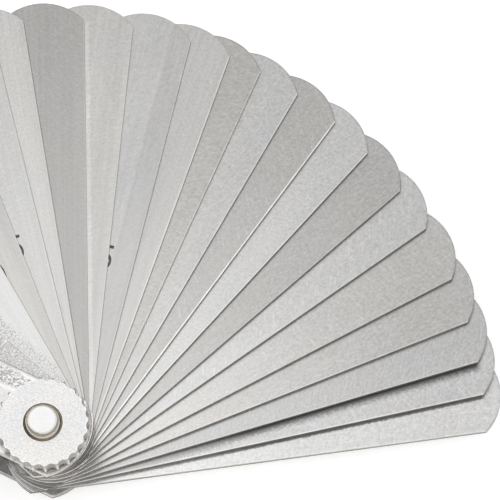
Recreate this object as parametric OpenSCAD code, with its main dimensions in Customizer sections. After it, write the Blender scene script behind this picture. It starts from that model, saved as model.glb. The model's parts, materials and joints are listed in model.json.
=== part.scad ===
// Feeler gauge: twenty steel leaves from 0.05 to 1.00 mm, fanned out on one screw between two
// covers, with a fluted lock nut. The origin is on the pivot axis at the underside of the screw
// head. +Z points up towards the nut, and the covers run from the pivot along -X.

/* [Leaves] */
// Length of a leaf, end to end
leaf_length = 75; // [65:1:100]
// Width of leaves and covers
leaf_width = 13; // [12:0.5:16]
// Radius of the rounded ends
end_radius = 8.4; // [8.2:0.1:12]
// Distance from the pivot to the near end of a leaf
pivot_inset = 6.75; // [6:0.25:9]
// Free height over each leaf
leaf_gap = 0.02; // [0.01:0.01:0.05]

/* [Fan: how far each leaf is swung out of the case, in degrees] */
// 1.00 mm leaf, on top of the stack
open_100 = 15.3; // [0:0.1:180]
// 0.05 mm leaf
open_005 = 34.1; // [0:0.1:180]
// 0.10 mm leaf
open_010 = 42.3; // [0:0.1:180]
// 0.15 mm leaf
open_015 = 49.6; // [0:0.1:180]
// 0.20 mm leaf
open_020 = 54.1; // [0:0.1:180]
// 0.25 mm leaf
open_025 = 62.3; // [0:0.1:180]
// 0.30 mm leaf
open_030 = 68.9; // [0:0.1:180]
// 0.35 mm leaf
open_035 = 76.9; // [0:0.1:180]
// 0.40 mm leaf
open_040 = 82.5; // [0:0.1:180]
// 0.45 mm leaf
open_045 = 87.1; // [0:0.1:180]
// 0.50 mm leaf
open_050 = 92.9; // [0:0.1:180]
// 0.55 mm leaf
open_055 = 99.2; // [0:0.1:180]
// 0.60 mm leaf
open_060 = 105.2; // [0:0.1:180]
// 0.65 mm leaf
open_065 = 111.9; // [0:0.1:180]
// 0.70 mm leaf
open_070 = 118; // [0:0.1:180]
// 0.75 mm leaf
open_075 = 125.6; // [0:0.1:180]
// 0.80 mm leaf
open_080 = 131.7; // [0:0.1:180]
// 0.85 mm leaf
open_085 = 137.1; // [0:0.1:180]
// 0.90 mm leaf
open_090 = 141.4; // [0:0.1:180]
// 0.95 mm leaf, at the bottom of the stack
open_095 = 146.2; // [0:0.1:180]

/* [Case] */
// Thickness of each cover
cover_thickness = 1; // [0.8:0.1:1.5]
// How far the covers reach past the leaf tips
cover_overhang = 8; // [7.5:0.5:12]
// Bevel along the cover edges
cover_bevel = 0.25; // [0.1:0.05:0.3]
// Free space between the leaf tips and the tail spacer
tip_clearance = 1; // [0.8:0.1:1.2]
// Outer radius of the tail spacer
spacer_radius = 2.75; // [2.5:0.05:3]
// Shank radius of the tail rivet
rivet_radius = 1.5; // [1:0.1:1.8]
// Radius of the rivet heads
rivet_head_radius = 2.6; // [2.4:0.1:3]
// Height of the rivet heads
rivet_head_height = 0.8; // [0.5:0.1:1]

/* [Pivot screw] */
// Radius of the shank
shank_radius = 2.5; // [2:0.1:2.5]
// Radius of the flat head
head_radius = 5; // [4.5:0.1:6]
// Thickness of the flat head
head_thickness = 1.4; // [1.2:0.1:2]
// Side of the square neck that stops the screw turning
neck_side = 5; // [5:0.1:5.6]
// Bevel at the top end of the screw
end_bevel = 0.45; // [0.2:0.05:0.6]
// How far the screw stands out of the nut
screw_stand_out = 1.6; // [1:0.1:3]

/* [Lock nut] */
// Outer radius
nut_radius = 7; // [6.5:0.1:9]
// Height
nut_height = 2.5; // [2:0.1:4]
// Grooves round the rim
flutes = 24; // [16:1:24]
// Radius of each groove
flute_radius = 0.85; // [0.5:0.05:0.85]
// Bevel round the rim, top and bottom
nut_bevel = 0.35; // [0.1:0.05:0.5]
// How far the nut is turned, in degrees
nut_turned = 7.1; // [0:0.1:360]
// Outer radius of the washer
washer_radius = 5; // [4.5:0.1:6]
// Thickness of the washer
washer_thickness = 0.4; // [0.3:0.1:0.8]

/* [Hidden] */
$fn = 96;
running_gap = 0.05;
sink_depth = 0.45;
flute_offset = 0.25;
full_size = 1;
size_step = 0.05;
leaf_count = 20;
over = 1;

hole_radius = shank_radius + running_gap;
leaf_reach = leaf_length - pivot_inset;
cover_reach = leaf_reach + cover_overhang;
tail_x = -(leaf_reach + tip_clearance + spacer_radius);
stack_height = full_size + size_step * leaf_count * (leaf_count - 1) / 2 + (leaf_count + 1) * leaf_gap;
lower_cover_z = head_thickness;
stack_z = lower_cover_z + cover_thickness;
upper_cover_z = stack_z + stack_height;
washer_z = upper_cover_z + cover_thickness;
nut_z = washer_z + washer_thickness;
screw_top_z = nut_z + nut_height + screw_stand_out;

steel = [0.74, 0.74, 0.75];
light_steel = [0.86, 0.86, 0.87];
dark_steel = [0.6, 0.6, 0.62];

// Underside of a leaf: the 1.00 mm leaf is on top, and the others thicken downwards from it
function leaf_z(size) =
    let (place = size < full_size ? round(size / size_step) : 0)
    let (leaves_below = leaf_count - 1 - place)
    let (steel_below = size_step * (leaf_count * (leaf_count - 1) - place * (place + 1)) / 2)
    stack_z + steel_below + (leaves_below + 1) * leaf_gap;

// Disc with both rims bevelled, for the rounded end of a cover
module bevelled_disc(radius, height, bevel) {
    rotate_extrude()
        polygon([
            [0, 0],
            [radius - bevel, 0],
            [radius, bevel],
            [radius, height - bevel],
            [radius - bevel, height],
            [0, height]
        ]);
}

// Round hole up through something that starts at z = 0
module hole(radius, height) {
    translate([0, 0, -over])
        cylinder(r = radius, h = height + 2 * over);
}

// One leaf: a parallel strip with two shallow rounded ends and the pivot hole
module leaf(size, opening) {
    rotate([0, 0, 180 - opening])
        translate([0, 0, leaf_z(size)])
            difference() {
                linear_extrude(height = size)
                    intersection() {
                        translate([-pivot_inset, -leaf_width / 2])
                            square([leaf_length, leaf_width]);
                        union() {
                            translate([end_radius - pivot_inset, 0])
                                circle(r = end_radius);
                            translate([leaf_reach - end_radius, 0])
                                circle(r = end_radius);
                            translate([end_radius - pivot_inset, -leaf_width / 2])
                                square([leaf_length - 2 * end_radius, leaf_width]);
                        }
                    }
                hole(hole_radius, size);
            }
}

// Cover plate without its pivot hole: a bevelled strip with bevelled rounded ends
module cover_plate() {
    half = leaf_width / 2;
    near_x = pivot_inset - end_radius;
    far_x = end_radius - cover_reach;
    difference() {
        intersection() {
            translate([-cover_reach, 0, 0])
                rotate([90, 0, 90])
                    linear_extrude(height = cover_reach + pivot_inset)
                        polygon([
                            [-half + cover_bevel, 0],
                            [half - cover_bevel, 0],
                            [half, cover_bevel],
                            [half, cover_thickness - cover_bevel],
                            [half - cover_bevel, cover_thickness],
                            [-half + cover_bevel, cover_thickness],
                            [-half, cover_thickness - cover_bevel],
                            [-half, cover_bevel]
                        ]);
            union() {
                translate([near_x, 0, 0])
                    bevelled_disc(end_radius, cover_thickness, cover_bevel);
                translate([far_x, 0, 0])
                    bevelled_disc(end_radius, cover_thickness, cover_bevel);
                translate([far_x, -half, 0])
                    cube([near_x - far_x, leaf_width, cover_thickness]);
            }
        }
        translate([tail_x, 0, 0])
            hole(rivet_radius + running_gap, cover_thickness);
    }
}

// Cover under the leaves, with a square hole for the neck of the screw
module bottom_cover() {
    neck_hole = neck_side + 2 * running_gap;
    color(steel)
        translate([0, 0, lower_cover_z])
            difference() {
                cover_plate();
                translate([-neck_hole / 2, -neck_hole / 2, -over])
                    cube([neck_hole, neck_hole, cover_thickness + 2 * over]);
            }
}

// Cover over the leaves, with a round hole
module top_cover() {
    color(light_steel)
        translate([0, 0, upper_cover_z])
            difference() {
                cover_plate();
                hole(hole_radius, cover_thickness);
            }
}

// Tube that holds the covers apart beyond the leaf tips
module tail_spacer() {
    color(dark_steel)
        translate([tail_x, 0, stack_z])
            difference() {
                cylinder(r = spacer_radius, h = stack_height);
                hole(rivet_radius + running_gap, stack_height);
            }
}

// Low domed rivet head that rests on z = 0
module rivet_head() {
    dome_radius = (rivet_head_radius ^ 2 + rivet_head_height ^ 2) / (2 * rivet_head_height);
    intersection() {
        translate([0, 0, rivet_head_height - dome_radius])
            sphere(r = dome_radius);
        cylinder(r = rivet_head_radius, h = rivet_head_height);
    }
}

// Rivet through both covers and the spacer
module tail_rivet() {
    color(steel)
        translate([tail_x, 0, 0]) {
            translate([0, 0, lower_cover_z])
                cylinder(r = rivet_radius, h = washer_z - lower_cover_z);
            translate([0, 0, washer_z])
                rivet_head();
            translate([0, 0, lower_cover_z])
                mirror([0, 0, 1])
                    rivet_head();
        }
}

// Screw the leaves turn on: flat head, square neck, round shank and bevelled end
module pivot_screw() {
    head_bevel = 0.3;
    color(steel) {
        rotate_extrude()
            polygon([
                [0, 0],
                [head_radius - head_bevel, 0],
                [head_radius, head_bevel],
                [head_radius, head_thickness],
                [shank_radius, head_thickness],
                [shank_radius, screw_top_z - end_bevel],
                [shank_radius - end_bevel, screw_top_z],
                [0, screw_top_z]
            ]);
        translate([-neck_side / 2, -neck_side / 2, head_thickness])
            cube([neck_side, neck_side, cover_thickness]);
    }
}

// Plain washer between the upper cover and the nut
module nut_washer() {
    color(dark_steel)
        translate([0, 0, washer_z])
            difference() {
                cylinder(r = washer_radius, h = washer_thickness);
                hole(hole_radius, washer_thickness);
            }
}

// Lock nut: bevelled disc with U-shaped grooves round the rim and a countersunk hole
module lock_nut() {
    color(light_steel)
        translate([0, 0, nut_z])
            rotate([0, 0, nut_turned])
                difference() {
                    bevelled_disc(nut_radius, nut_height, nut_bevel);
                    for (i = [0 : flutes - 1])
                        rotate([0, 0, i * 360 / flutes])
                            translate([nut_radius + flute_offset, 0, 0])
                                hole(flute_radius, nut_height);
                    hole(hole_radius, nut_height);
                    translate([0, 0, nut_height - sink_depth])
                        cylinder(r1 = hole_radius, r2 = hole_radius + sink_depth, h = sink_depth);
                }
}

module leaf_100() {
    color(light_steel)
        leaf(1.00, open_100);
}

module leaf_005() {
    color(steel)
        leaf(0.05, open_005);
}

module leaf_010() {
    color(light_steel)
        leaf(0.10, open_010);
}

module leaf_015() {
    color(steel)
        leaf(0.15, open_015);
}

module leaf_020() {
    color(light_steel)
        leaf(0.20, open_020);
}

module leaf_025() {
    color(steel)
        leaf(0.25, open_025);
}

module leaf_030() {
    color(light_steel)
        leaf(0.30, open_030);
}

module leaf_035() {
    color(steel)
        leaf(0.35, open_035);
}

module leaf_040() {
    color(light_steel)
        leaf(0.40, open_040);
}

module leaf_045() {
    color(steel)
        leaf(0.45, open_045);
}

module leaf_050() {
    color(light_steel)
        leaf(0.50, open_050);
}

module leaf_055() {
    color(steel)
        leaf(0.55, open_055);
}

module leaf_060() {
    color(light_steel)
        leaf(0.60, open_060);
}

module leaf_065() {
    color(steel)
        leaf(0.65, open_065);
}

module leaf_070() {
    color(light_steel)
        leaf(0.70, open_070);
}

module leaf_075() {
    color(steel)
        leaf(0.75, open_075);
}

module leaf_080() {
    color(light_steel)
        leaf(0.80, open_080);
}

module leaf_085() {
    color(steel)
        leaf(0.85, open_085);
}

module leaf_090() {
    color(light_steel)
        leaf(0.90, open_090);
}

module leaf_095() {
    color(steel)
        leaf(0.95, open_095);
}

bottom_cover();
top_cover();
tail_spacer();
tail_rivet();
pivot_screw();
nut_washer();
lock_nut();
leaf_100();
leaf_005();
leaf_010();
leaf_015();
leaf_020();
leaf_025();
leaf_030();
leaf_035();
leaf_040();
leaf_045();
leaf_050();
leaf_055();
leaf_060();
leaf_065();
leaf_070();
leaf_075();
leaf_080();
leaf_085();
leaf_090();
leaf_095();
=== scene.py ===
"""Feeler gauge: finished pieces, materials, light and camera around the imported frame."""

import json
import math
from collections import namedtuple

import bmesh
import bpy
from mathutils import Matrix, Vector


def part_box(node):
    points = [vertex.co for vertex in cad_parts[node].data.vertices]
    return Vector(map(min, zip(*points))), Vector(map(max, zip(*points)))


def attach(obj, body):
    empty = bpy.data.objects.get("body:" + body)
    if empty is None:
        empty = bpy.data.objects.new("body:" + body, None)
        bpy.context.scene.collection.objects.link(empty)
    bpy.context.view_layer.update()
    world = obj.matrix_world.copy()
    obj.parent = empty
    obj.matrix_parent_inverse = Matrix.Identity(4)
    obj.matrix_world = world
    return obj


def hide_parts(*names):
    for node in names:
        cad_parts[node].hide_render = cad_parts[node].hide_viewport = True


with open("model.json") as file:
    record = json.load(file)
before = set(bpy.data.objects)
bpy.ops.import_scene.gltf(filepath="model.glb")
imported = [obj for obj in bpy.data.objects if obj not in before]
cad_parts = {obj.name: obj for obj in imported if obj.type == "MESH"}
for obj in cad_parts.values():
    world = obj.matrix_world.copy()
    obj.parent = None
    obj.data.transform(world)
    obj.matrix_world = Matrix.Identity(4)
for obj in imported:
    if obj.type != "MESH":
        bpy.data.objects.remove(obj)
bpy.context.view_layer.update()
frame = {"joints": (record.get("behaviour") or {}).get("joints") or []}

MM = 0.001

# ------------------------------------------------------------------ sizes, in millimetres

# Leaves and covers. SIDE_END is where the straight side of a leaf ends and its round tip starts.
LEAF_LENGTH = 75.0
PIVOT_INSET = 6.75
HALF_WIDTH = 6.5
END_RADIUS = 8.4
SIDE_END = LEAF_LENGTH - PIVOT_INSET - END_RADIUS + math.sqrt(END_RADIUS ** 2 - HALF_WIDTH ** 2)
HOLE_RADIUS = 2.55
LEAF_BEVEL = 0.08
COVER_BEVEL = 0.25
TAIL_X = -72.0
RIVET_HOLE_RADIUS = 1.55

# Pivot screw: round head, square neck, shank with a thread, bevelled end
HEAD_RADIUS = 5.0
HEAD_THICKNESS = 1.4
HEAD_BEVEL = 0.3
HEAD_ROUNDING = 0.1
HEAD_SEAT_RADIUS = 3.8
NECK_HALF = 2.5
NECK_HOLE_HALF = 2.55
SHANK_RADIUS = 2.5
THREAD_PITCH = 0.8
THREAD_DEPTH = 0.42
THREAD_STEPS = 14
END_BEVEL = 0.55
END_ROUNDING = 0.06

# Lock nut: grooves round its rim, and a countersunk hole
NUT_RADIUS = 7.0
NUT_BEVEL = 0.35
NUT_TURNED = math.radians(7.1)
FLUTES = 24
FLUTE_RADIUS = 0.85
FLUTE_CENTRE = 7.25
SINK_DEPTH = 0.45
SINK_RADIUS = 2.92

# Washer, spacer and rivet
WASHER_RADIUS = 5.0
WASHER_ROUNDING = 0.08
SPACER_RADIUS = 2.75
SPACER_ROUNDING = 0.15
RIVET_RADIUS = 1.5
RIVET_HEAD_RADIUS = 2.6
RIVET_HEAD_HEIGHT = 0.8

# ------------------------------------------------------------------ how the pieces look

# Tones of the leaves' steel, from the darkest leaf to the brightest
DARK, DULL, PLAIN, LIGHT, BRIGHT = 0.37, 0.46, 0.50, 0.56, 0.64

# How a piece is finished. The size of the grain is in millimetres.
Finish = namedtuple("Finish", "mottle streak dull_tips grain_size")
SCOURED = Finish(mottle=4.8, streak=0.5, dull_tips=0.2, grain_size=0.3)
ROLLED = Finish(mottle=0.4, streak=0.8, dull_tips=0.06, grain_size=0.5)
GROUND = Finish(mottle=0.9, streak=0.3, dull_tips=0.2, grain_size=0.5)
UPPER_COVER = Finish(mottle=1.7, streak=0.5, dull_tips=0.2, grain_size=0.5)
LOWER_COVER = Finish(mottle=0.9, streak=0.5, dull_tips=0.2, grain_size=0.5)

# How much painted shade darkens each leaf towards its tips, and where that starts and is full along a
# leaf
NO_TIP_SHADE, FAINT_TIP_SHADE, MILD_TIP_SHADE, DEEP_TIP_SHADE = 0.0, 0.1, 0.15, 0.24
TIP_SHADE_START, TIP_SHADE_FULL = 18.0, 60.0

# The smudge on the upper cover, along and across it
SMUDGE_MIDDLE = (-9.0, 4.7)
SMUDGE_HALF = (4.5, 1.6)

# The leaves from the top of the stack downwards: (tone, warmth, finish, painted shade towards the tips)
LEAVES = {
    "100": (DULL, 0.00, SCOURED, NO_TIP_SHADE),
    "005": (LIGHT, 0.00, ROLLED, NO_TIP_SHADE),
    "010": (DULL, 0.01, ROLLED, FAINT_TIP_SHADE),
    "015": (PLAIN, 0.00, ROLLED, NO_TIP_SHADE),
    "020": (PLAIN, 0.01, ROLLED, NO_TIP_SHADE),
    "025": (DARK, 0.01, ROLLED, NO_TIP_SHADE),
    "030": (DULL, 0.01, ROLLED, NO_TIP_SHADE),
    "035": (DULL, 0.00, ROLLED, NO_TIP_SHADE),
    "040": (DULL, 0.01, ROLLED, NO_TIP_SHADE),
    "045": (DULL, 0.02, GROUND, MILD_TIP_SHADE),
    "050": (PLAIN, 0.00, GROUND, FAINT_TIP_SHADE),
    "055": (DULL, 0.01, GROUND, MILD_TIP_SHADE),
    "060": (LIGHT, 0.00, GROUND, MILD_TIP_SHADE),
    "065": (DULL, 0.01, GROUND, MILD_TIP_SHADE),
    "070": (LIGHT, 0.00, GROUND, MILD_TIP_SHADE),
    "075": (LIGHT, 0.01, GROUND, DEEP_TIP_SHADE),
    "080": (LIGHT, 0.01, GROUND, DEEP_TIP_SHADE),
    "085": (PLAIN, 0.00, GROUND, FAINT_TIP_SHADE),
    "090": (LIGHT, 0.00, GROUND, FAINT_TIP_SHADE),
    "095": (BRIGHT, 0.00, GROUND, FAINT_TIP_SHADE),
}
STACK = list(LEAVES)

# How brightly the long edges are lit, where it isn't the usual value below: partly rubbed wear, partly
# painted highlight
EDGE_RUB_AND_HIGHLIGHT = {
    "040": 0.5, "045": 0.3, "050": 0.4, "055": 1.0, "060": 0.45,
    "080": 0.35, "085": 0.3, "090": 0.6, "095": 0.4,
}
EDGE_RUB_AND_HIGHLIGHT_USUAL = 0.15

# How brightly the pivot ends are lit, where they aren't all oily: partly rubbed wear, partly painted
# highlight
PIVOT_RUB_AND_HIGHLIGHT = {
    "100": 1.0, "010": 0.4, "030": 0.5, "045": 0.4, "055": 0.7, "065": 0.2,
    "075": 0.6, "080": 0.2, "085": 0.5, "090": 0.9, "095": 0.3,
}

# Tone of the side walls, where they are lighter than WALL_TONE_USUAL; the dark walls are partly sheared
# steel, partly painted shade
WALL_TONES = {
    "015": 0.6, "020": 0.6, "025": 1.0, "030": 1.0, "035": 0.9,
    "040": 0.7, "045": 0.8, "050": 0.4, "095": 0.32,
}
WALL_TONE_USUAL = 0.26

# Painted shading across a leaf, as from a slight curl: a lighter or darker band along its right side:
# (width, change of tone)
SIDE_SHADING = {"035": (3.4, -0.07), "030": (1.0, 0.05)}
NO_BAND = (0.0, 0.0)

# A line along the edge of the leaf above, on this leaf: mostly painted shadow, and on 005 also a broad
# band of specks. Its solid width, the width over which it fades, how much it darkens, where it starts,
# how patchy it is, and how much of it is left near the pivot.
# A negative darkening makes a lighter strip.
Line = namedtuple("Line", "solid fade stain start patchiness near_pivot", defaults=(-0.1, 0.0, 1.0))
# FAINT_LINE and THIN_LINE are thin painted contact shadows
FAINT_LINE = Line(0.05, 0.08, 0.12, near_pivot=0.35)
THIN_LINE = Line(0.08, 0.08, 0.3)
LINES = {
    # 005: a painted contact shadow beside the top leaf, then a broad patchy band of specks
    "005": [Line(0.1, 0.1, 0.7), Line(1.8, 0.5, 0.7, start=0.5, patchiness=1.0, near_pivot=0.4)],
    "010": [THIN_LINE],
    "015": [THIN_LINE],
    "020": [THIN_LINE],
    "025": [THIN_LINE],
    # 030: a lighter strip beside the edge of 025
    "030": [Line(0.62, 0.1, -0.14)],
    # 090: a wide painted shadow of the leaf above, as if it stood off this one
    "090": [Line(0.15, 1.4, 0.8, near_pivot=0.35)],
    # 095: a painted shadow beside the edge of 090
    "095": [Line(0.32, 0.14, 0.6, near_pivot=0.35)],
}

# The etched numbers. Where a number isn't at its usual place: (foot along the leaf, right end across)
NUMBER_PLACES = {"010": (23.3, -3.1), "015": (27.2, -3.3), "035": (26.9, -3.05)}
NUMBER_PLACE_USUAL = (26.6, -2.3)
NUMBER_HEIGHT = 5.5
NUMBER_NARROWING = 0.6
NUMBER_RISE = 0.007

# ------------------------------------------------------------------ mesh building

ARC_STEPS = 32
ROUND_STEPS = 3

# How far a strip lies inside its CAD outline, and the width over which its edges' wear and painted
# highlight fade out
SKIN = 0.01
EDGE_BAND_WIDTH = 0.35


def strip_ring(near, far, margin):
    """Outline of a strip with two shallow round ends, inset by margin, from its +X end round.

    A ring's points are (x, y, wear): wear is 1 where an edge is rubbed bright, partly a painted
    highlight, and -1 where it stays dull.
    """
    arc = END_RADIUS - margin
    reach = math.asin((HALF_WIDTH - margin) / arc)
    points = []
    for centre_x, turn in ((far - END_RADIUS, 0.0), (near + END_RADIUS, math.pi)):
        for step in range(ARC_STEPS + 1):
            angle = turn + reach * (2 * step / ARC_STEPS - 1)
            wear = 1.0 if turn or step in (0, ARC_STEPS) else -1.0
            points.append((centre_x + arc * math.cos(angle), arc * math.sin(angle), wear))
    start = ARC_STEPS // 2
    return points[start:] + points[:start]


def circle_ring(radius, centre_x=0.0, steps=48):
    """Circle that starts at its +X side."""
    turns = [2 * math.pi * step / steps for step in range(steps)]
    return [(centre_x + radius * math.cos(a), radius * math.sin(a), 1.0) for a in turns]


def square_ring(half):
    """Square with a point in the middle of each side, from its +X side round."""
    signs = [(1, 0), (1, 1), (0, 1), (-1, 1), (-1, 0), (-1, -1), (0, -1), (1, -1)]
    return [(half * x, half * y, 1.0) for x, y in signs]


def flute_ring(outer_radius, flute_radius):
    """Outline of the fluted nut: circle of outer_radius with a round groove cut in at each flute."""
    cos_edge = outer_radius ** 2 + FLUTE_CENTRE ** 2 - flute_radius ** 2
    edge = math.acos(cos_edge / (2 * outer_radius * FLUTE_CENTRE))
    swing = math.atan2(
        outer_radius * math.sin(edge), FLUTE_CENTRE - outer_radius * math.cos(edge)
    )
    half_pitch = math.pi / FLUTES
    groove_steps, land_steps = 10, 3
    points = []
    for flute in range(FLUTES):
        middle = 2 * math.pi * flute / FLUTES
        for step in range(groove_steps + 1):
            t = swing * (1 - 2 * step / groove_steps)
            x = FLUTE_CENTRE - flute_radius * math.cos(t)
            y = -flute_radius * math.sin(t)
            points.append(
                (
                    x * math.cos(middle) - y * math.sin(middle),
                    x * math.sin(middle) + y * math.cos(middle),
                    1.0,
                )
            )
        for step in range(1, land_steps):
            angle = middle + edge + (2 * half_pitch - 2 * edge) * step / land_steps
            points.append((outer_radius * math.cos(angle), outer_radius * math.sin(angle), 1.0))
    start = groove_steps // 2
    return points[start:] + points[:start]


def add_ring(bm, edge_layer, points, z, edge):
    """Vertices of one ring, each marked with how much of an edge it is."""
    ring = []
    for x, y, wear in points:
        vertex = bm.verts.new((x * MM, y * MM, z * MM))
        vertex[edge_layer] = edge * wear
        ring.append(vertex)
    return ring


def bridge(bm, lower, upper, material, inward=False):
    """Band of faces between two rings of the same length."""
    count = len(lower)
    for i in range(count):
        j = (i + 1) % count
        corners = [lower[i], lower[j], upper[j], upper[i]]
        if inward:
            corners.reverse()
        face = bm.faces.new(corners)
        face.material_index = material


def cap(bm, outer, holes, down):
    """Two flat faces, split along the X axis, between an outline and the holes on that axis."""
    half = len(outer) // 2
    upper_half = outer[: half + 1]
    lower_half = outer[half:] + [outer[0]]
    for hole in reversed(holes):
        middle = len(hole) // 2
        upper_half += [hole[k] for k in range(middle, -1, -1)]
    for hole in holes:
        middle = len(hole) // 2
        lower_half += [hole[k % len(hole)] for k in range(len(hole), middle - 1, -1)]
    for corners in (upper_half, lower_half):
        if down:
            corners.reverse()
        bm.faces.new(corners)


def set_sharp_edges(bm):
    """Flat faces keep crisp borders, and rounded bands shade smoothly."""
    for face in bm.faces:
        face.smooth = True
    for edge in bm.edges:
        if len(edge.link_faces) != 2:
            continue
        flat = [abs(face.normal.z) > 0.9999 for face in edge.link_faces]
        turned = edge.calc_face_angle(0.0) > math.radians(38)
        edge.smooth = not (turned or flat[0] != flat[1])


def finish_mesh(bm, name, materials):
    """Turns the working mesh into an object with its materials."""
    bm.normal_update()
    set_sharp_edges(bm)
    mesh = bpy.data.meshes.new(name)
    bm.to_mesh(mesh)
    bm.free()
    piece = bpy.data.objects.new(name, mesh)
    bpy.context.scene.collection.objects.link(piece)
    for material in materials:
        mesh.materials.append(material)
    return piece


def plate(name, outer, holes, materials):
    """Flat piece with holes on its X axis. A level is (points, z, edge, material of the band above)."""
    bm = bmesh.new()
    edge_layer = bm.verts.layers.float.new("edge")
    ends = []
    for levels, inward in [(outer, False)] + [(hole, True) for hole in holes]:
        rings = [add_ring(bm, edge_layer, points, z, edge) for points, z, edge, _ in levels]
        for index, (lower, upper) in enumerate(zip(rings, rings[1:])):
            bridge(bm, lower, upper, levels[index][3], inward)
        ends.append((rings[0], rings[-1]))
    cap(bm, ends[0][0], [end[0] for end in ends[1:]], True)
    cap(bm, ends[0][1], [end[1] for end in ends[1:]], False)
    return finish_mesh(bm, name, materials)


def rounded_levels(height, bevel, band=None):
    """(margin, z, edge, is_wall) up a side whose two rims are rounded."""
    levels = []
    for step in range(ROUND_STEPS + 1):
        angle = math.pi / 2 * step / ROUND_STEPS
        margin = bevel * (1 - math.sin(angle))
        z = bevel * (1 - math.cos(angle))
        levels.append((margin, z, 1.0, step == ROUND_STEPS))
    levels += [(margin, height - z, edge, False) for margin, z, edge, _ in reversed(levels)]
    if band:
        levels = [(band, 0.0, 0.0, False)] + levels + [(band, height, 0.0, False)]
    return levels


def strip_plate(name, near, far, height, bevel, holes, materials):
    """Strip with round ends. A hole is a function from margin to a ring of points."""
    outer = [
        (strip_ring(near, far, margin + SKIN), z, edge, 1 if wall else 0)
        for margin, z, edge, wall in rounded_levels(height, bevel, band=bevel + EDGE_BAND_WIDTH)
    ]
    hole_bevel = bevel * 0.6
    inner = [
        [
            (hole(margin), z, edge * 0.5, 1 if wall else 0)
            for margin, z, edge, wall in rounded_levels(height, hole_bevel)
        ]
        for hole in holes
    ]
    return plate(name, outer, inner, materials)


def skin(name, rings, materials, closed=False, bands=None):
    """Skin over rings of 3-D points in millimetres. A ring of one point is a pole."""
    bm = bmesh.new()
    edge_layer = bm.verts.layers.float.new("edge")
    made = []
    for ring in rings:
        vertices = [bm.verts.new((x * MM, y * MM, z * MM)) for x, y, z in ring]
        for vertex in vertices:
            vertex[edge_layer] = 0.0
        made.append(vertices)
    pairs = list(zip(made, made[1:]))
    if closed:
        pairs.append((made[-1], made[0]))
    for index, (lower, upper) in enumerate(pairs):
        material = bands(index) if bands else 0
        count = max(len(lower), len(upper))
        for i in range(count):
            j = (i + 1) % count
            if len(lower) == 1:
                corners = [lower[0], upper[j], upper[i]]
            elif len(upper) == 1:
                corners = [lower[i], lower[j], upper[0]]
            else:
                corners = [lower[i], lower[j], upper[j], upper[i]]
            face = bm.faces.new(corners)
            face.material_index = material
    return finish_mesh(bm, name, materials)


def fillet(points, radius, closed=False, steps=4):
    """Profile with each inner corner rounded. The first and last points stay unless it is closed."""
    rounded = []
    count = len(points)
    for i, corner in enumerate(points):
        if not closed and i in (0, count - 1):
            rounded.append(corner)
            continue
        corner = Vector(corner)
        before = Vector(points[i - 1]) - corner
        after = Vector(points[(i + 1) % count]) - corner
        reach = min(radius, before.length * 0.45, after.length * 0.45)
        start = corner + before.normalized() * reach
        end = corner + after.normalized() * reach
        for step in range(steps + 1):
            t = step / steps
            point = start * (1 - t) ** 2 + corner * (2 * t * (1 - t)) + end * t ** 2
            rounded.append((point.x, point.y))
    return rounded


def lathe(name, profile, materials, closed=False, steps=72, centre=(0.0, 0.0)):
    """Turned piece from a profile of (radius, z). A radius of 0 gives a pole."""
    turns = [2 * math.pi * step / steps for step in range(steps)]
    rings = []
    for radius, z in profile:
        angles = turns if radius else turns[:1]
        rings.append(
            [
                (centre[0] + radius * math.cos(a), centre[1] + radius * math.sin(a), z)
                for a in angles
            ]
        )
    return skin(name, rings, materials, closed)


# ------------------------------------------------------------------ materials


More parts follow.
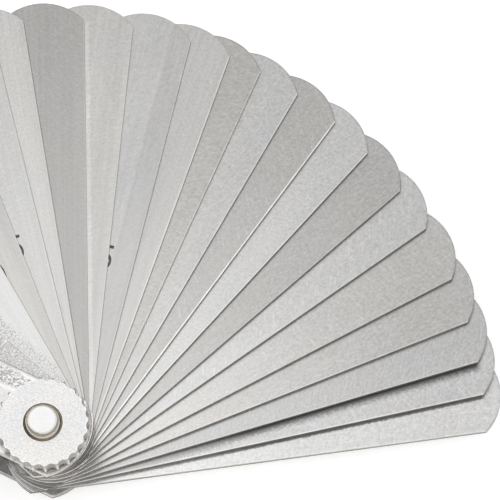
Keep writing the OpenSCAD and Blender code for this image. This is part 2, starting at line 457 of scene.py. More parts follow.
class Surface:
    """A principled material that is built node by node from coordinates in millimetres."""

    def __init__(self, name, metallic, roughness, turned=0.0):
        self.material = bpy.data.materials.new(name)
        self.material.use_nodes = True
        self.tree = self.material.node_tree
        self.tree.nodes.clear()
        self.output = self.add("ShaderNodeOutputMaterial")
        self.shader = self.add("ShaderNodeBsdfPrincipled")
        self.shader.inputs["Metallic"].default_value = metallic
        self.shader.inputs["Roughness"].default_value = roughness
        self.link(self.shader.outputs["BSDF"], self.output.inputs["Surface"])
        scale = self.add("ShaderNodeVectorMath", operation="SCALE")
        scale.inputs["Scale"].default_value = 1 / MM
        self.link(self.add("ShaderNodeTexCoord").outputs["Object"], scale.inputs[0])
        straighten = self.add("ShaderNodeVectorRotate", rotation_type="Z_AXIS")
        straighten.inputs["Angle"].default_value = -turned
        self.link(scale.outputs["Vector"], straighten.inputs["Vector"])
        self.place = straighten.outputs["Vector"]

    def add(self, kind, **settings):
        """New node with its settings."""
        node = self.tree.nodes.new(kind)
        for key, value in settings.items():
            setattr(node, key, value)
        return node

    def link(self, source, target):
        self.tree.links.new(source, target)

    def math(self, operation, a, b):
        """One arithmetic step. Each side is a number or another node's output."""
        node = self.add("ShaderNodeMath", operation=operation)
        for socket, value in zip(node.inputs, (a, b)):
            if isinstance(value, (int, float)):
                socket.default_value = value
            else:
                self.link(value, socket)
        return node.outputs["Value"]

    def span(self, value, low, high, to_low=0.0, to_high=1.0, smooth=False):
        """Value mapped from low..high to to_low..to_high, and held at those ends."""
        node = self.add("ShaderNodeMapRange", clamp=True)
        if smooth:
            node.interpolation_type = "SMOOTHSTEP"
        self.link(value, node.inputs["Value"])
        node.inputs["From Min"].default_value = low
        node.inputs["From Max"].default_value = high
        node.inputs["To Min"].default_value = to_low
        node.inputs["To Max"].default_value = to_high
        return node.outputs["Result"]

    def noise(self, size, seed, angle=0.0, detail=2.0, rough=0.5):
        """Noise from 0 to 1 whose features are size = (along, across) millimetres, turned by angle."""
        mapping = self.add("ShaderNodeMapping", vector_type="TEXTURE")
        mapping.inputs["Location"].default_value = (seed * 7.3, seed * -3.9, seed * 1.7)
        mapping.inputs["Rotation"].default_value = (0.0, 0.0, math.radians(angle))
        mapping.inputs["Scale"].default_value = (size[0], size[1], size[1])
        self.link(self.place, mapping.inputs["Vector"])
        node = self.add("ShaderNodeTexNoise", noise_dimensions="3D")
        node.inputs["Scale"].default_value = 1.0
        node.inputs["Detail"].default_value = detail
        node.inputs["Roughness"].default_value = rough
        self.link(mapping.outputs["Vector"], node.inputs["Vector"])
        return node.outputs[0]

    def scratches(self, size, seed, angle, start=0.62, full=0.74):
        """Sparse thin marks from 0 to 1."""
        return self.span(self.noise(size, seed, angle, detail=1.0), start, full)

    def attribute(self, name):
        return self.add("ShaderNodeAttribute", attribute_name=name).outputs["Fac"]

    def axes(self):
        """The X, Y and Z coordinates, in millimetres."""
        split = self.add("ShaderNodeSeparateXYZ")
        self.link(self.place, split.inputs[0])
        return [split.outputs[axis] for axis in "XYZ"]

    def reach(self, angle):
        """How far a point lies from the pivot, measured in the direction of an angle."""
        dot = self.add("ShaderNodeVectorMath", operation="DOT_PRODUCT")
        self.link(self.place, dot.inputs[0])
        dot.inputs[1].default_value = (math.cos(angle), math.sin(angle), 0.0)
        return dot.outputs["Value"]

    def radius(self):
        """Distance from the pivot's axis."""
        flat = self.add("ShaderNodeVectorMath", operation="MULTIPLY")
        self.link(self.place, flat.inputs[0])
        flat.inputs[1].default_value = (1.0, 1.0, 0.0)
        length = self.add("ShaderNodeVectorMath", operation="LENGTH")
        self.link(flat.outputs["Vector"], length.inputs[0])
        return length.outputs["Value"]

    def facing_up(self):
        """1 on faces that look up, 0 on walls and undersides."""
        split = self.add("ShaderNodeSeparateXYZ")
        self.link(self.add("ShaderNodeNewGeometry").outputs["True Normal"], split.inputs[0])
        return self.span(split.outputs["Z"], 0.0, 0.5)

    def product(self, result, *factors):
        for factor in factors:
            result = self.math("MULTIPLY", result, factor)
        return result

    def darker(self, value, amount):
        """Value darkened by an amount from 0 to 1, or lightened by a negative one."""
        return self.math("MULTIPLY", value, self.math("SUBTRACT", 1.0, amount))

    def varied(self, tone, patterns):
        """Tone varied by patterns, each of them (pattern, its neutral value, strength)."""
        factor = 1.0
        for pattern, neutral, strength in patterns:
            part = self.math("MULTIPLY", self.math("SUBTRACT", pattern, neutral), strength)
            factor = self.math("ADD", part, factor)
        return self.math("MULTIPLY", factor, tone)

    def mix(self, factor, first, second):
        node = self.add("ShaderNodeMix", data_type="RGBA")
        self.link(factor, node.inputs[0])
        for socket, value in ((node.inputs[6], first), (node.inputs[7], second)):
            if isinstance(value, tuple):
                socket.default_value = (*value, 1.0)
            else:
                self.link(value, socket)
        return node.outputs[2]

    def tint(self, value, cool, warm, warmth):
        """Grey value times a colour that drifts between cool and warm."""
        colour = self.mix(warmth, cool, warm)
        node = self.add("ShaderNodeVectorMath", operation="SCALE")
        self.link(colour, node.inputs[0])
        self.link(value, node.inputs["Scale"])
        return node.outputs["Vector"]

    def speckled(self, speckle, dark, light, cool, warm):
        """Colour that follows a speckle from dark to light and from cool to warm."""
        tone = self.span(speckle, 0.3, 0.7, dark, light)
        return self.tint(tone, grey(1.0, cool), grey(1.0, warm), speckle)

    def finish(self, colour, roughness=None, height=None, depth=0.0):
        """Joins colour, roughness and a bump of depth millimetres to the shader."""
        self.link(colour, self.shader.inputs["Base Color"])
        if roughness is not None:
            self.link(roughness, self.shader.inputs["Roughness"])
        if height is not None:
            bump = self.add("ShaderNodeBump")
            bump.inputs["Strength"].default_value = 1.0
            bump.inputs["Distance"].default_value = depth * MM
            self.link(height, bump.inputs["Height"])
            self.link(bump.outputs["Normal"], self.shader.inputs["Normal"])
        return self.material


def grey(tone, warmth=0.0):
    """Linear colour of that tone, a little warmer or cooler."""
    return (tone * (1 + warmth), tone, tone * (1 - 1.4 * warmth))


# Near-white of rubbed edges; on the leaves and covers it is partly a painted highlight
RUB_AND_HIGHLIGHT_COLOUR = grey(0.95, 0.01)


def with_edge_shadow_and_residue(s, value, along, neighbour, seed, lines):
    """Painted shadow, and on some leaves specks or a lighter strip, beside the edge of the leaf above,
    which is turned by neighbour from this one.
    """
    gap = s.math("SUBTRACT", s.reach(neighbour - math.pi / 2), HALF_WIDTH)
    ragged = s.span(s.noise((0.45, 0.3), seed + 19, detail=3.0), 0.3, 0.7, 0.75, 1.25)
    away = s.math("DIVIDE", gap, ragged)
    ended = s.span(s.reach(neighbour), SIDE_END - 0.4, SIDE_END + 0.4, 1.0, 0.0)
    spots = s.noise((0.26, 0.2), seed + 21, detail=1.0)
    on_top = s.facing_up()
    for line in lines:
        inner = s.span(gap, line.start - 0.5, line.start)
        outer = s.span(away, line.solid, line.solid + line.fade, 1.0, 0.0, smooth=True)
        left = s.span(along, 12.0, 30.0, line.near_pivot, 1.0)
        patches = s.span(spots, 0.51, 0.57, 1.0 - line.patchiness, 1.0)
        # Painted shadow, specks or a lighter strip beside the leaf above
        value = s.darker(value, s.product(inner, outer, left, ended, patches, on_top, line.stain))
    return value


def with_smudge(s, value, along, across, seed):
    """Oily thumb mark: an ellipse of dark patches on the upper face."""
    (middle_along, middle_across), (half_length, half_width) = SMUDGE_MIDDLE, SMUDGE_HALF
    ahead = s.math("DIVIDE", s.math("SUBTRACT", along, middle_along), half_length)
    aside = s.math("DIVIDE", s.math("SUBTRACT", across, middle_across), half_width)
    apart = s.math("ADD", s.math("POWER", aside, 2.0), s.math("POWER", ahead, 2.0))
    blotches = s.noise((0.34, 0.26), seed + 37, detail=3.0, rough=0.7)
    patches = s.span(blotches, 0.42, 0.56, 0.05, 1.0)
    inside = s.span(apart, 0.25, 1.2, 0.6, 0.0, smooth=True)
    return s.darker(value, s.product(inside, patches, s.facing_up()))


def ground_steel(
    name, tone, warmth, seed, finish, tip_shade=NO_TIP_SHADE, edge_rub_and_highlight=0.3, pivot_rub_and_highlight=0.0, turned=0.0,
    side_shading=NO_BAND, neighbour=0.0, lines=(), smudged=False,
):
    """Bare spring steel: ground face, fine mottled grain, scratches, rubbed edges with painted
    highlights, dull tips, painted shade towards the tips and across some leaves, and painted shadow
    beside the leaf above.
    """
    s = Surface(name, metallic=1.0, roughness=0.4, turned=turned)
    along, across, _ = s.axes()
    grain = (finish.grain_size, 0.76 * finish.grain_size)
    fine = s.noise(grain, seed, 12 * seed, detail=4.0, rough=0.75)
    broad = s.noise((16.0, 7.0), seed + 3, detail=2.0)
    lengthwise = s.noise((26.0, 0.5), seed + 5, detail=3.0, rough=0.6)
    bands = s.noise((60.0, 2.6), seed + 7, detail=1.0)
    light_marks = s.scratches((2.0, 0.14), seed + 11, 37 + 61 * seed, 0.6, 0.72)
    dark_marks = s.scratches((2.2, 0.14), seed + 13, -52 + 47 * seed, 0.62, 0.76)
    long_marks = s.scratches((8.0, 0.22), seed + 17, 84 + 9 * seed, 0.62, 0.78)
    contrast = 0.6 + 0.8 * finish.mottle
    value = s.varied(
        tone,
        [
            (fine, 0.5, 0.75 * contrast),
            (broad, 0.5, 0.12),
            (lengthwise, 0.5, 0.3 * finish.streak),
            (bands, 0.5, 0.2 * finish.streak),
            (light_marks, 0.0, 0.14 * contrast),
            (dark_marks, 0.0, -0.09 * contrast),
            (long_marks, 0.0, 0.05),
        ],
    )
    # Painted shade: the face darkens along the leaf towards its tip
    value = s.product(value, s.span(along, TIP_SHADE_START, TIP_SHADE_FULL, 1.0, 1.0 - tip_shade))
    # Painted shading: a band of changed tone along the leaf's right side
    band_width, band_change = side_shading
    if band_width:
        inward = s.math("ADD", across, HALF_WIDTH)
        band = s.span(inward, band_width - 0.4, band_width + 0.2, 1 + band_change, 1.0, smooth=True)
        value = s.product(value, band)
    if lines:
        value = with_edge_shadow_and_residue(s, value, along, neighbour, seed, lines)
    if smudged:
        value = with_smudge(s, value, along, across, seed)
    edge = s.attribute("edge")
    broken = s.span(s.noise((3.0, 0.6), seed + 29, detail=2.0), 0.35, 0.6, 0.6, 1.0)
    dull = s.product(s.span(edge, -1.0, -0.4, 1.0, 0.0), broken, finish.dull_tips)
    value = s.darker(value, dull)
    at_pivot = s.span(along, -4.0, 4.0, 1.0, 0.0)
    oil = 0.66 * (1.0 - pivot_rub_and_highlight)
    value = s.darker(value, s.product(s.span(edge, 0.2, 0.9), at_pivot, oil))
    drift = s.span(s.noise((14.0, 9.0), seed + 23, detail=1.0), 0.35, 0.65)
    colour = s.tint(value, grey(1.0, warmth + 0.002), grey(1.0, warmth + 0.012), drift)
    # Rubbed edges with painted highlights: the edge bands are mixed towards near-white
    rubbed = s.span(at_pivot, 0.0, 1.0, edge_rub_and_highlight, pivot_rub_and_highlight)
    colour = s.mix(s.product(s.span(edge, 0.5, 1.0), broken, rubbed), colour, RUB_AND_HIGHLIGHT_COLOUR)
    rough = s.span(fine, 0.3, 0.7, 0.30, 0.40)
    height = s.math("ADD", s.product(fine, finish.mottle), s.product(lengthwise, finish.streak))
    height = s.math("SUBTRACT", height, s.math("ADD", light_marks, long_marks))
    return s.finish(colour, rough, height, depth=0.0035)


def sheared_edge(name, tone, seed, turned=0.0):
    """Side wall of a leaf or cover: dull and dark, partly sheared steel and partly painted shade,
    darker by the pivot, drawn lengthwise by the shear.
    """
    s = Surface(name, metallic=0.7, roughness=0.6, turned=turned)
    drawn = s.noise((7.0, 0.10), seed, detail=3.0, rough=0.6)
    spots = s.noise((0.6, 0.3), seed + 2, detail=2.0)
    value = s.math("ADD", s.span(drawn, 0.3, 0.7, 0.6, 1.35), s.span(spots, 0.35, 0.65, -0.15, 0.15))
    along = s.axes()[0]
    value = s.product(value, tone, s.span(along, -3.0, 6.0, 0.6, 1.0))
    drift = s.span(s.noise((5.0, 3.0), seed + 4, detail=1.0), 0.35, 0.65)
    colour = s.tint(value, grey(1.0, 0.03), grey(1.0, 0.09), drift)
    return s.finish(colour, s.span(drawn, 0.3, 0.7, 0.5, 0.7), drawn, depth=0.006)


def satin_steel(name, tone, warmth, seed, grain=(0.3, 0.3), strength=0.2):
    """Turned or plated steel: fine grain, faint scratches, light edges."""
    s = Surface(name, metallic=1.0, roughness=0.4)
    fine = s.noise(grain, seed, detail=4.0, rough=0.7)
    broad = s.noise((6.0, 5.0), seed + 3, detail=2.0)
    light_marks = s.scratches((2.2, 0.1), seed + 5, 33 * seed)
    dark_marks = s.scratches((1.2, 0.12), seed + 9, -71 * seed, 0.66, 0.78)
    patterns = [(fine, 0.5, strength), (broad, 0.5, 0.14)]
    patterns += [(light_marks, 0.0, 0.08), (dark_marks, 0.0, -0.12)]
    value = s.varied(tone, patterns)
    drift = s.span(broad, 0.35, 0.65)
    colour = s.tint(value, grey(1.0, warmth - 0.01), grey(1.0, warmth + 0.015), drift)
    patchy_edge = s.product(s.attribute("edge"), s.span(fine, 0.3, 0.6, 0.5, 1.0))
    colour = s.mix(s.span(patchy_edge, 0.3, 0.9), colour, RUB_AND_HIGHLIGHT_COLOUR)
    return s.finish(colour, s.span(fine, 0.3, 0.7, 0.34, 0.46), fine, depth=0.004)


def fluted_side(name, seed):
    """Side of the nut: oily grime at the bottom of each groove, cleaner on the lands."""
    s = Surface(name, metallic=0.85, roughness=0.5)
    speckle = s.noise((0.3, 0.3), seed, detail=3.0, rough=0.6)
    groove = s.span(s.radius(), NUT_RADIUS - 0.45, NUT_RADIUS - 0.02, 1.0, 0.0, smooth=True)
    grime = s.product(groove, s.span(speckle, 0.3, 0.65, 1.0, 0.7))
    clean = s.speckled(speckle, 0.52, 0.76, 0.01, 0.04)
    dirty = s.speckled(speckle, 0.22, 0.38, 0.05, 0.11)
    colour = s.mix(grime, clean, dirty)
    return s.finish(colour, s.span(speckle, 0.3, 0.7, 0.4, 0.6), speckle, depth=0.006)


def threaded_steel(name, seed):
    """Thread: bright crests, oil-dark roots."""
    s = Surface(name, metallic=0.95, roughness=0.4)
    speckle = s.noise((0.25, 0.25), seed, detail=3.0, rough=0.6)
    root = s.span(s.radius(), SHANK_RADIUS - 0.32, SHANK_RADIUS - 0.04, 1.0, 0.0)
    crest = s.speckled(speckle, 0.72, 0.9, 0.03, 0.08)
    oil = s.speckled(speckle, 0.26, 0.4, 0.08, 0.14)
    colour = s.mix(root, crest, oil)
    return s.finish(colour, s.span(speckle, 0.3, 0.7, 0.35, 0.5), speckle, depth=0.004)


def oily_recess(name, seed, tone=1.0):
    """Countersink, bore or bevel: dark olive-brown oil film."""
    s = Surface(name, metallic=0.8, roughness=0.42)
    film = s.noise((3.0, 3.0), seed, detail=2.0)
    speckle = s.noise((0.2, 0.2), seed + 2, detail=2.0)
    value = s.math("ADD", s.span(film, 0.3, 0.7, 0.44, 0.58), s.span(speckle, 0.3, 0.7, -0.05, 0.06))
    colour = s.tint(s.product(value, tone), grey(1.0, 0.08), grey(1.0, 0.17), film)
    return s.finish(colour, s.span(speckle, 0.3, 0.7, 0.35, 0.5), speckle, depth=0.004)


def etched_mark(name, seed):
    """Dark etched figures with a slightly uneven bite."""
    s = Surface(name, metallic=0.3, roughness=0.6)
    bite = s.noise((0.25, 0.25), seed, detail=3.0)
    colour = s.speckled(bite, 0.05, 0.12, 0.0, 0.05)
    return s.finish(colour, s.span(bite, 0.3, 0.7, 0.5, 0.7), bite, depth=0.002)


# ------------------------------------------------------------------ leaves


def swing_joint(size):
    return next(j for j in frame["joints"] if j["name"] == f"swing_{size}")


def leaf_direction(size):
    """Angle of a leaf at rest, from the lower limit of its joint, which is straight along +X."""
    return -math.radians(swing_joint(size)["range_deg"][0])


mark_material = etched_mark("etched_figures", 41)


def number_on(size, place, top_z):
    """Etched thickness of a leaf, across its width near the pivot."""
    baseline, right_end = NUMBER_PLACES.get(size, NUMBER_PLACE_USUAL)
    curve = bpy.data.curves.new(f"number_{size}_curve", "FONT")
    curve.body = f"{int(size) / 100:.2f}"
    curve.size = NUMBER_HEIGHT * MM
    curve.extrude = 0.002 * MM
    curve.resolution_u = 4
    text = bpy.data.objects.new(f"number_{size}_text", curve)
    bpy.context.scene.collection.objects.link(text)
    bpy.context.view_layer.update()
    graph = bpy.context.evaluated_depsgraph_get()
    mesh = bpy.data.meshes.new_from_object(text.evaluated_get(graph))
    bpy.data.objects.remove(text)
    bpy.data.curves.remove(curve)
    narrow = Matrix.Diagonal((NUMBER_NARROWING, 1.0, 1.0, 1.0))
    across = Matrix.Rotation(-math.pi / 2, 4, "Z")
    length = NUMBER_NARROWING * max(vertex.co.x for vertex in mesh.vertices)
    rise = top_z + NUMBER_RISE * MM
    shift = Matrix.Translation((baseline * MM, right_end * MM + length, rise))
    mesh.transform(place @ shift @ across @ narrow)
    mesh.materials.clear()
    mesh.materials.append(mark_material)
    number = bpy.data.objects.new(f"number_{size}", mesh)
    bpy.context.scene.collection.objects.link(number)
    return number


def make_leaf(index, size):
    tone, warmth, finish, tip_shade = LEAVES[size]
    node = f"leaf_{size}"
    low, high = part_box(node)
    thickness = (high.z - low.z) / MM
    turned = leaf_direction(size)
    seed = index + 1
    neighbour, lines = 0.0, []
    if index > 0:
        neighbour = leaf_direction(STACK[index - 1]) - turned
        lines = LINES.get(size, [FAINT_LINE])
    face = ground_steel(
        f"ground_steel_{size}", tone, warmth, seed, finish, tip_shade,
        edge_rub_and_highlight=EDGE_RUB_AND_HIGHLIGHT.get(size, EDGE_RUB_AND_HIGHLIGHT_USUAL),
        pivot_rub_and_highlight=PIVOT_RUB_AND_HIGHLIGHT.get(size, 0.0),
        turned=turned,
        side_shading=SIDE_SHADING.get(size, NO_BAND),
        neighbour=neighbour,
        lines=lines,
    )
    side = sheared_edge(
        f"sheared_edge_{size}", WALL_TONES.get(size, WALL_TONE_USUAL), seed, turned
    )
    leaf = strip_plate(
        f"gauge_{size}",
        -PIVOT_INSET,
        LEAF_LENGTH - PIVOT_INSET,
        thickness,
        min(LEAF_BEVEL, 0.2 * thickness),
        [lambda margin: circle_ring(HOLE_RADIUS + margin)],
        [face, side],
    )
    place = Matrix.Translation((0, 0, low.z)) @ Matrix.Rotation(turned, 4, "Z")
    leaf.data.transform(place)
    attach(leaf, node)
    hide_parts(node)
    number = number_on(size, place, high.z - low.z)
    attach(number, node)


for index, size in enumerate(STACK):
    make_leaf(index, size)

# ------------------------------------------------------------------ covers

cover_side = sheared_edge("cover_side", WALL_TONE_USUAL, 51)


def make_cover(name, node, pivot_hole, material):
    low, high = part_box(node)
    cover = strip_plate(
        name,
        low.x / MM,
        high.x / MM,
        (high.z - low.z) / MM,
        COVER_BEVEL,
        [pivot_hole, lambda margin: circle_ring(RIVET_HOLE_RADIUS + margin, TAIL_X)],
        [material, cover_side],
    )
    cover.data.transform(Matrix.Translation((0, 0, low.z)))
    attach(cover, "case")
    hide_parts(node)


upper_steel = ground_steel(
    "upper_cover_steel", 0.68, 0.0, 31, UPPER_COVER, pivot_rub_and_highlight=0.4, smudged=True
)
lower_steel = ground_steel("lower_cover_steel", 0.55, 0.01, 33, LOWER_COVER, pivot_rub_and_highlight=0.3)
make_cover("upper_cover", "top_cover", lambda m: circle_ring(HOLE_RADIUS + m), upper_steel)
make_cover("lower_cover", "bottom_cover", lambda m: square_ring(NECK_HOLE_HALF + m), lower_steel)

# ------------------------------------------------------------------ pivot screw

SCREW_STEPS = 64
SCREW_ANGLES = [2 * math.pi * step / SCREW_STEPS for step in range(SCREW_STEPS)]


def turned_ring(radius, z):
    return [(radius * math.cos(a), radius * math.sin(a), z) for a in SCREW_ANGLES]


def neck_ring(half, z):
    ring = []
    for a in SCREW_ANGLES:
        reach = half / max(abs(math.cos(a)), abs(math.sin(a)))
        ring.append((reach * math.cos(a), reach * math.sin(a), z))
    return ring


def thread_ring(z, start_z, top_z):
    """Ring round a right-hand thread, which fades in at start_z and ends in a bevel at top_z."""
    ring = []
    for a in SCREW_ANGLES:
        turn = (z / THREAD_PITCH - a / (2 * math.pi)) % 1.0
        wave = 1 - abs(2 * turn - 1)
        cut = min(1.0, max(0.0, 1.15 * wave - 0.1))
        fade = min(1.0, max(0.0, (z - start_z) / THREAD_PITCH))
        radius = SHANK_RADIUS - THREAD_DEPTH * cut * fade
        radius = min(radius, SHANK_RADIUS - END_BEVEL + (top_z - z))
        ring.append((radius * math.cos(a), radius * math.sin(a), z))
    return ring


def make_screw():
    top_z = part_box("pivot_screw")[1].z / MM
    neck_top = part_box("bottom_cover")[1].z / MM
    thread_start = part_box("nut_washer")[0].z / MM
    thread_height = top_z - thread_start
    head = fillet(
        [
            (0.0, 0.0),
            (HEAD_RADIUS - HEAD_BEVEL, 0.0),
            (HEAD_RADIUS, HEAD_BEVEL),
            (HEAD_RADIUS, HEAD_THICKNESS),
            (HEAD_SEAT_RADIUS, HEAD_THICKNESS),
        ],
        HEAD_ROUNDING,
    )
    rings = [[(0.0, 0.0, 0.0)]]
    rings += [turned_ring(radius, z) for radius, z in head[1:]]
    rings += [neck_ring(NECK_HALF, HEAD_THICKNESS), neck_ring(NECK_HALF, neck_top)]
    rings += [turned_ring(SHANK_RADIUS - 0.02, neck_top), turned_ring(SHANK_RADIUS, neck_top + 0.1)]
    rings.append(turned_ring(SHANK_RADIUS, thread_start))
    foot = len(rings) - 1
    count = round(thread_height / (THREAD_PITCH / THREAD_STEPS))
    for step in range(1, count + 1):
        rings.append(thread_ring(thread_start + thread_height * step / count, thread_start, top_z))
    top = len(rings) - 1
    rings.append(turned_ring(SHANK_RADIUS - END_BEVEL - END_ROUNDING, top_z))
    rings.append([(0.0, 0.0, top_z)])

    materials = [
        satin_steel("turned_screw_steel", 0.66, 0.02, 61, grain=(0.25, 0.25)),
        threaded_steel("thread_steel", 63),
        satin_steel("screw_end_steel", 0.72, 0.0, 65, strength=0.35),
        # A lighter copy of the screw's steel for the end's rim: a painted highlight
        satin_steel("screw_rim_highlight", 0.92, 0.025, 67, strength=0.5),
        # Oil film made darker as painted shade of the gap round the screw's end
        oily_recess("screw_bevel_film_and_shade", 69, tone=0.65),
    ]
    body, thread, end, rim, film = range(len(materials))
    bevel = round(count * END_BEVEL / thread_height)
    # Bands of the end bevel, from its foot up: oil film with painted shade, thread colour, painted
    # highlight, then the flat end
    zones = [
        (0, body),
        (foot, thread),
        (top - bevel, film),
        (top - round(0.6 * bevel), thread),
        (top - round(0.42 * bevel), rim),
        (top, end),
    ]

    def material_at(index):
        """The material of the band above a ring: the last zone that has started there."""
        return [material for start, material in zones if start <= index][-1]

    screw = skin("pivot_stud", rings, materials, bands=material_at)
    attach(screw, "case")
    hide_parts("pivot_screw")


make_screw()

# ------------------------------------------------------------------ lock nut and washer


def make_nut():
    low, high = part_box("lock_nut")
    height = (high.z - low.z) / MM
    rim, rubbed = 0.06, 0.2
    face, side, recess = 0, 1, 2
    outline = [
        (NUT_RADIUS - NUT_BEVEL - rubbed, FLUTE_RADIUS + rubbed, 0.0, 0.0, face),
        (NUT_RADIUS - NUT_BEVEL - rim, FLUTE_RADIUS + rim, 0.0, 1.0, side),
        (NUT_RADIUS - NUT_BEVEL + rim, FLUTE_RADIUS, rim, 0.6, side),
        (NUT_RADIUS - rim, FLUTE_RADIUS, NUT_BEVEL - rim, 0.4, side),
        (NUT_RADIUS, FLUTE_RADIUS, NUT_BEVEL + rim, 0.0, side),
        (NUT_RADIUS, FLUTE_RADIUS, height - NUT_BEVEL - rim, 0.0, side),
        (NUT_RADIUS - rim, FLUTE_RADIUS, height - NUT_BEVEL + rim, 0.4, side),
        (NUT_RADIUS - NUT_BEVEL + rim, FLUTE_RADIUS, height - rim, 0.6, face),
        (NUT_RADIUS - NUT_BEVEL - rim, FLUTE_RADIUS + rim, height, 1.0, face),
        (NUT_RADIUS - NUT_BEVEL - rubbed, FLUTE_RADIUS + rubbed, height, 0.0, face),
    ]
    outer = [(flute_ring(r, f), z, edge, band) for r, f, z, edge, band in outline]
    bore = [
        (HOLE_RADIUS + 0.2, 0.0, 0.0, recess),
        (HOLE_RADIUS, 0.2, 0.0, recess),
        (HOLE_RADIUS, height - SINK_DEPTH, 0.0, recess),
        (SINK_RADIUS - 0.03, height - 0.05, 0.0, face),
        (SINK_RADIUS + 0.02, height, 0.8, face),
        (SINK_RADIUS + rubbed, height, 0.0, face),
    ]
    inner = [(circle_ring(r, steps=64), z, edge, band) for r, z, edge, band in bore]
    nut = plate(
        "fluted_nut",
        outer,
        [inner],
        [
            satin_steel("nut_face_steel", 0.66, 0.004, 71, grain=(0.22, 0.22), strength=1.6),
            fluted_side("nut_flutes_steel", 73),
            oily_recess("nut_recess", 75),
        ],
    )
    nut.data.transform(Matrix.Translation((0, 0, low.z)) @ Matrix.Rotation(NUT_TURNED, 4, "Z"))
    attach(nut, "nut")
    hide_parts("lock_nut")


def make_ring(name, node, body, inner, outer, edge, material, centre_x=0.0):
    """Washer or spacer: a turned ring between the heights of its CAD node."""
    low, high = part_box(node)
    bottom, top = low.z / MM, high.z / MM
    corners = [(inner, bottom), (outer, bottom), (outer, top), (inner, top)]
    profile = fillet(corners, edge, closed=True)
    ring = lathe(name, profile, [material], closed=True, centre=(centre_x, 0.0))
    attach(ring, body)
    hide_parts(node)


make_nut()
make_ring(
    "clamp_washer", "nut_washer", "washer", HOLE_RADIUS, WASHER_RADIUS, WASHER_ROUNDING,
    satin_steel("washer_satin", 0.5, 0.02, 81),
)
make_ring(
    "case_spacer", "tail_spacer", "case", RIVET_HOLE_RADIUS, SPACER_RADIUS,
    SPACER_ROUNDING,
    satin_steel("spacer_turned", 0.45, 0.02, 83, grain=(0.1, 0.6), strength=0.4), TAIL_X,
)

# ------------------------------------------------------------------ tail rivet


def make_rivet():
    low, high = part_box("tail_rivet")
    bottom, top = low.z / MM, high.z / MM
    dome = (RIVET_HEAD_RADIUS ** 2 + RIVET_HEAD_HEIGHT ** 2) / (2 * RIVET_HEAD_HEIGHT)
    head = []
    steps = 8
    for step in range(steps + 1):
        radius = (RIVET_HEAD_RADIUS - 0.05) * step / steps
        head.append((radius, dome - math.sqrt(dome ** 2 - radius ** 2)))
    head.append((RIVET_HEAD_RADIUS - 0.01, RIVET_HEAD_HEIGHT - 0.03))
    head.append((RIVET_HEAD_RADIUS - 0.06, RIVET_HEAD_HEIGHT))
    head.append((RIVET_RADIUS, RIVET_HEAD_HEIGHT))
    profile = [(radius, bottom + z) for radius, z in head]
    profile += [(radius, top - z) for radius, z in reversed(head)]
    steel = satin_steel("rivet_formed", 0.62, 0.015, 91, grain=(0.5, 0.5), strength=0.35)
    rivet = lathe("case_rivet", profile, [steel], centre=(TAIL_X, 0.0))
    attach(rivet, "case")
    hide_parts("tail_rivet")


make_rivet()

# ------------------------------------------------------------------ floor, light and camera


FLOOR_HALF = 4.0
FLOOR_DROP = 0.00003
CAMERA_AZIMUTH = math.radians(30.6)
CAMERA_ELEVATION = math.radians(71.7)
CAMERA_ROLL = math.radians(-4.5)
CAMERA_TARGET = (12.9, 41.6, 1.4)
CAMERA_DISTANCE = 622.0
CAMERA_LENS = 293.5


def make_floor():
    """Plain pale ground, a little lit by itself. Its size and drop are in metres."""
    bm = bmesh.new()
    corners = [(-1, -1), (1, -1), (1, 1), (-1, 1)]
    bm.faces.new(
        [bm.verts.new((FLOOR_HALF * x, FLOOR_HALF * y, -FLOOR_DROP)) for x, y in corners]
    )
    s = Surface("pale_floor", metallic=0.0, roughness=0.8)
    s.shader.inputs["Specular IOR Level"].default_value = 0.2
    s.shader.inputs["Emission Color"].default_value = (1.0, 1.0, 1.0, 1.0)
    s.shader.inputs["Emission Strength"].default_value = 0.36
    paper = s.noise((3.0, 3.0), 1, detail=3.0)
    tone = s.span(paper, 0.3, 0.7, 0.93, 0.96)
    s.finish(s.tint(tone, grey(1.0), grey(1.0, 0.002), paper))
    mesh = bpy.data.meshes.new("floor")
    bm.to_mesh(mesh)
    bm.free()
    mesh.materials.append(s.material)
    floor = bpy.data.objects.new("floor", mesh)
    bpy.context.scene.collection.objects.link(floor)


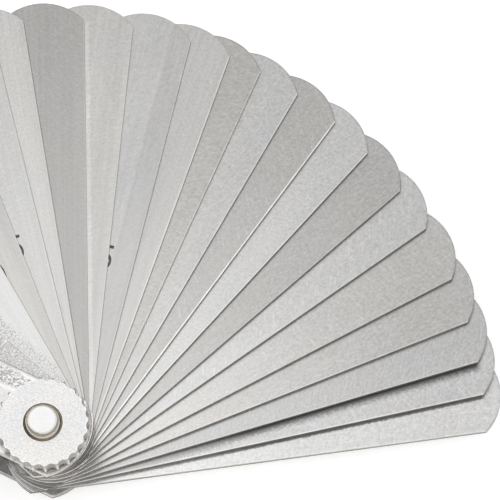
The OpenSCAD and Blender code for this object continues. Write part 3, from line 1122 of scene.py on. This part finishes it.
def make_world():
    """Soft studio surround: white overhead, dimmer towards the horizon."""
    world = bpy.data.worlds.new("studio")
    world.use_nodes = True
    tree = world.node_tree
    tree.nodes.clear()
    output = tree.nodes.new("ShaderNodeOutputWorld")
    background = tree.nodes.new("ShaderNodeBackground")
    coordinates = tree.nodes.new("ShaderNodeTexCoord")
    split = tree.nodes.new("ShaderNodeSeparateXYZ")
    height = tree.nodes.new("ShaderNodeMapRange")
    height.inputs["From Min"].default_value = -0.1
    height.inputs["From Max"].default_value = 0.7
    height.inputs["To Min"].default_value = 0.45
    height.inputs["To Max"].default_value = 1.0
    tree.links.new(coordinates.outputs["Generated"], split.inputs[0])
    tree.links.new(split.outputs["Z"], height.inputs["Value"])
    tree.links.new(height.outputs["Result"], background.inputs["Strength"])
    background.inputs["Color"].default_value = (1.0, 1.0, 1.0, 1.0)
    tree.links.new(background.outputs["Background"], output.inputs["Surface"])
    bpy.context.scene.world = world


def make_light(name, place, aim, size, power):
    """Round lamp: its place and aim are in millimetres, its size in metres, its power in watts."""
    data = bpy.data.lights.new(name, "AREA")
    data.shape = "DISK"
    data.size = size
    data.energy = power
    light = bpy.data.objects.new(name, data)
    light.location = Vector(place) * MM
    direction = Vector(aim) * MM - light.location
    light.rotation_euler = direction.to_track_quat("-Z", "Y").to_euler()
    bpy.context.scene.collection.objects.link(light)


def make_camera():
    """Camera high over the open leaves, looking down at about 72 degrees."""
    back = Vector(
        (
            math.sin(CAMERA_AZIMUTH) * math.cos(CAMERA_ELEVATION),
            -math.cos(CAMERA_AZIMUTH) * math.cos(CAMERA_ELEVATION),
            math.sin(CAMERA_ELEVATION),
        )
    )
    level = Vector((0, 0, 1)).cross(back).normalized()
    upright = back.cross(level)
    right = level * math.cos(CAMERA_ROLL) + upright * math.sin(CAMERA_ROLL)
    up = upright * math.cos(CAMERA_ROLL) - level * math.sin(CAMERA_ROLL)
    data = bpy.data.cameras.new("camera")
    data.lens = CAMERA_LENS
    data.sensor_width = 36.0
    data.clip_start = 0.01
    camera = bpy.data.objects.new("camera", data)
    turn = Matrix((right, up, back)).transposed().to_4x4()
    place = Vector(CAMERA_TARGET) * MM + back * CAMERA_DISTANCE * MM
    camera.matrix_world = Matrix.Translation(place) @ turn
    bpy.context.scene.collection.objects.link(camera)
    bpy.context.scene.camera = camera


make_floor()
make_world()
make_light("overhead_softbox", place=(-68, 76, 360), aim=(0, 10, 10), size=0.10, power=0.045)
make_camera()
bpy.context.scene.view_settings.view_transform = "Standard"
